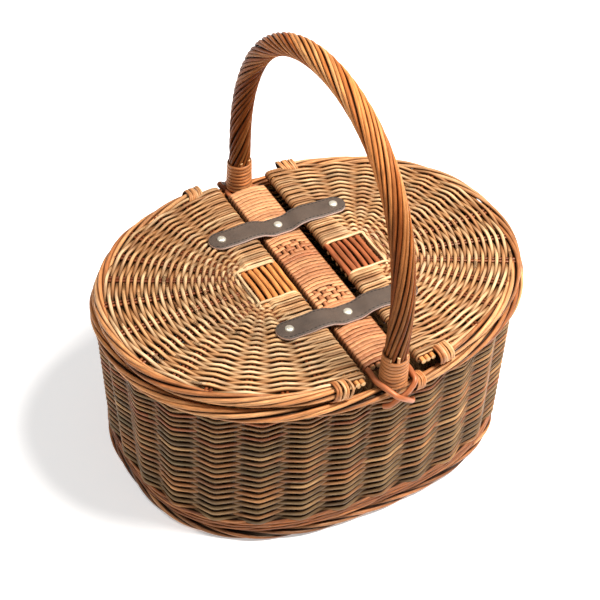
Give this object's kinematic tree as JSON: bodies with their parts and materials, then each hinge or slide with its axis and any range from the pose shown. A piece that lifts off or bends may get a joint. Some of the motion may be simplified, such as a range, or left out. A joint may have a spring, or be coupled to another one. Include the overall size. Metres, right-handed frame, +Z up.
{
  "type": "wicker picnic basket",
  "caption": "Oval woven willow picnic basket with twin lids hinged on leather straps beside a wrapped bridge, and a fixed arched rope-twist carrying handle.",
  "frame": {"origin": "centre of the underside of the foot, on the floor", "axes": "+X along the length towards the right lid, +Y across the basket towards the rear foot of the handle, +Z up"},
  "size_m": [0.448, 0.3628, 0.449],
  "materials": {
    "foot_willow": "satin peeled willow, reddish brown",
    "base_willow": "matt willow",
    "wall_willow": "matt unpeeled willow, olive brown",
    "stake_willow": "matt willow",
    "border_willow": "satin willow, golden brown",
    "lid_willow": "matt peeled willow, tan",
    "stick_willow": "satin willow sticks",
    "handle_willow": "satin twisted willow rods",
    "wrap_cane": "satin split cane",
    "bridge_cane": "satin split cane, orange brown",
    "tie_willow": "satin willow, reddish",
    "strap_leather": "matt dark grey-brown leather",
    "rivet_metal": "polished domed rivet"
  },
  "bodies": {
    "basket": {"foot_border": "foot_willow", "bottom_wale": "foot_willow", "base_weave": "base_willow", "base_long_sticks": "base_willow", "base_cross_sticks": "base_willow", "side_weave": "wall_willow", "side_stakes": "stake_willow", "top_border": "border_willow", "handle_core": "handle_willow", "handle_rope": "handle_willow", "handle_wrap_front": "wrap_cane", "handle_wrap_rear": "wrap_cane", "bridge_sticks": "bridge_cane", "bridge_binding": "bridge_cane", "tie_rods_front": "tie_willow", "tie_rods_rear": "tie_willow", "border_binding_front": "wrap_cane", "border_binding_rear": "wrap_cane", "bridge_rivets": "rivet_metal", "bridge_washers": "rivet_metal", "front_strap_middle": "strap_leather", "rear_strap_middle": "strap_leather", "front_strap_left_flex": "strap_leather", "rear_strap_left_flex": "strap_leather", "front_strap_right_flex": "strap_leather", "rear_strap_right_flex": "strap_leather"},
    "lid_left": {"lid_left_border": "border_willow", "lid_left_edge_band": "lid_willow", "lid_left_weave": "lid_willow", "lid_left_cross_sticks": "stick_willow", "lid_left_under_sticks": "stick_willow", "lid_left_fan_stakes": "stake_willow", "lid_left_corner_ties": "wrap_cane", "lid_left_rivets": "rivet_metal", "lid_left_washers": "rivet_metal", "front_strap_left_end": "strap_leather", "rear_strap_left_end": "strap_leather"},
    "lid_right": {"lid_right_border": "border_willow", "lid_right_edge_band": "lid_willow", "lid_right_weave": "lid_willow", "lid_right_cross_sticks": "stick_willow", "lid_right_under_sticks": "stick_willow", "lid_right_fan_stakes": "stake_willow", "lid_right_corner_ties": "wrap_cane", "lid_right_rivets": "rivet_metal", "lid_right_washers": "rivet_metal", "front_strap_right_end": "strap_leather", "rear_strap_right_end": "strap_leather"}
  },
  "joints": [
    {"name": "lid_left_hinge", "type": "hinge", "parent": "basket", "child": "lid_left", "pos_m": [-0.0255, 0, 0.205], "axis": [0, 1, 0], "range_deg": [0, 95], "deforming": ["front_strap_left_flex", "rear_strap_left_flex"]},
    {"name": "lid_right_hinge", "type": "hinge", "parent": "basket", "child": "lid_right", "pos_m": [0.0255, 0, 0.205], "axis": [0, -1, 0], "range_deg": [0, 95], "deforming": ["front_strap_right_flex", "rear_strap_right_flex"]}
  ]
}
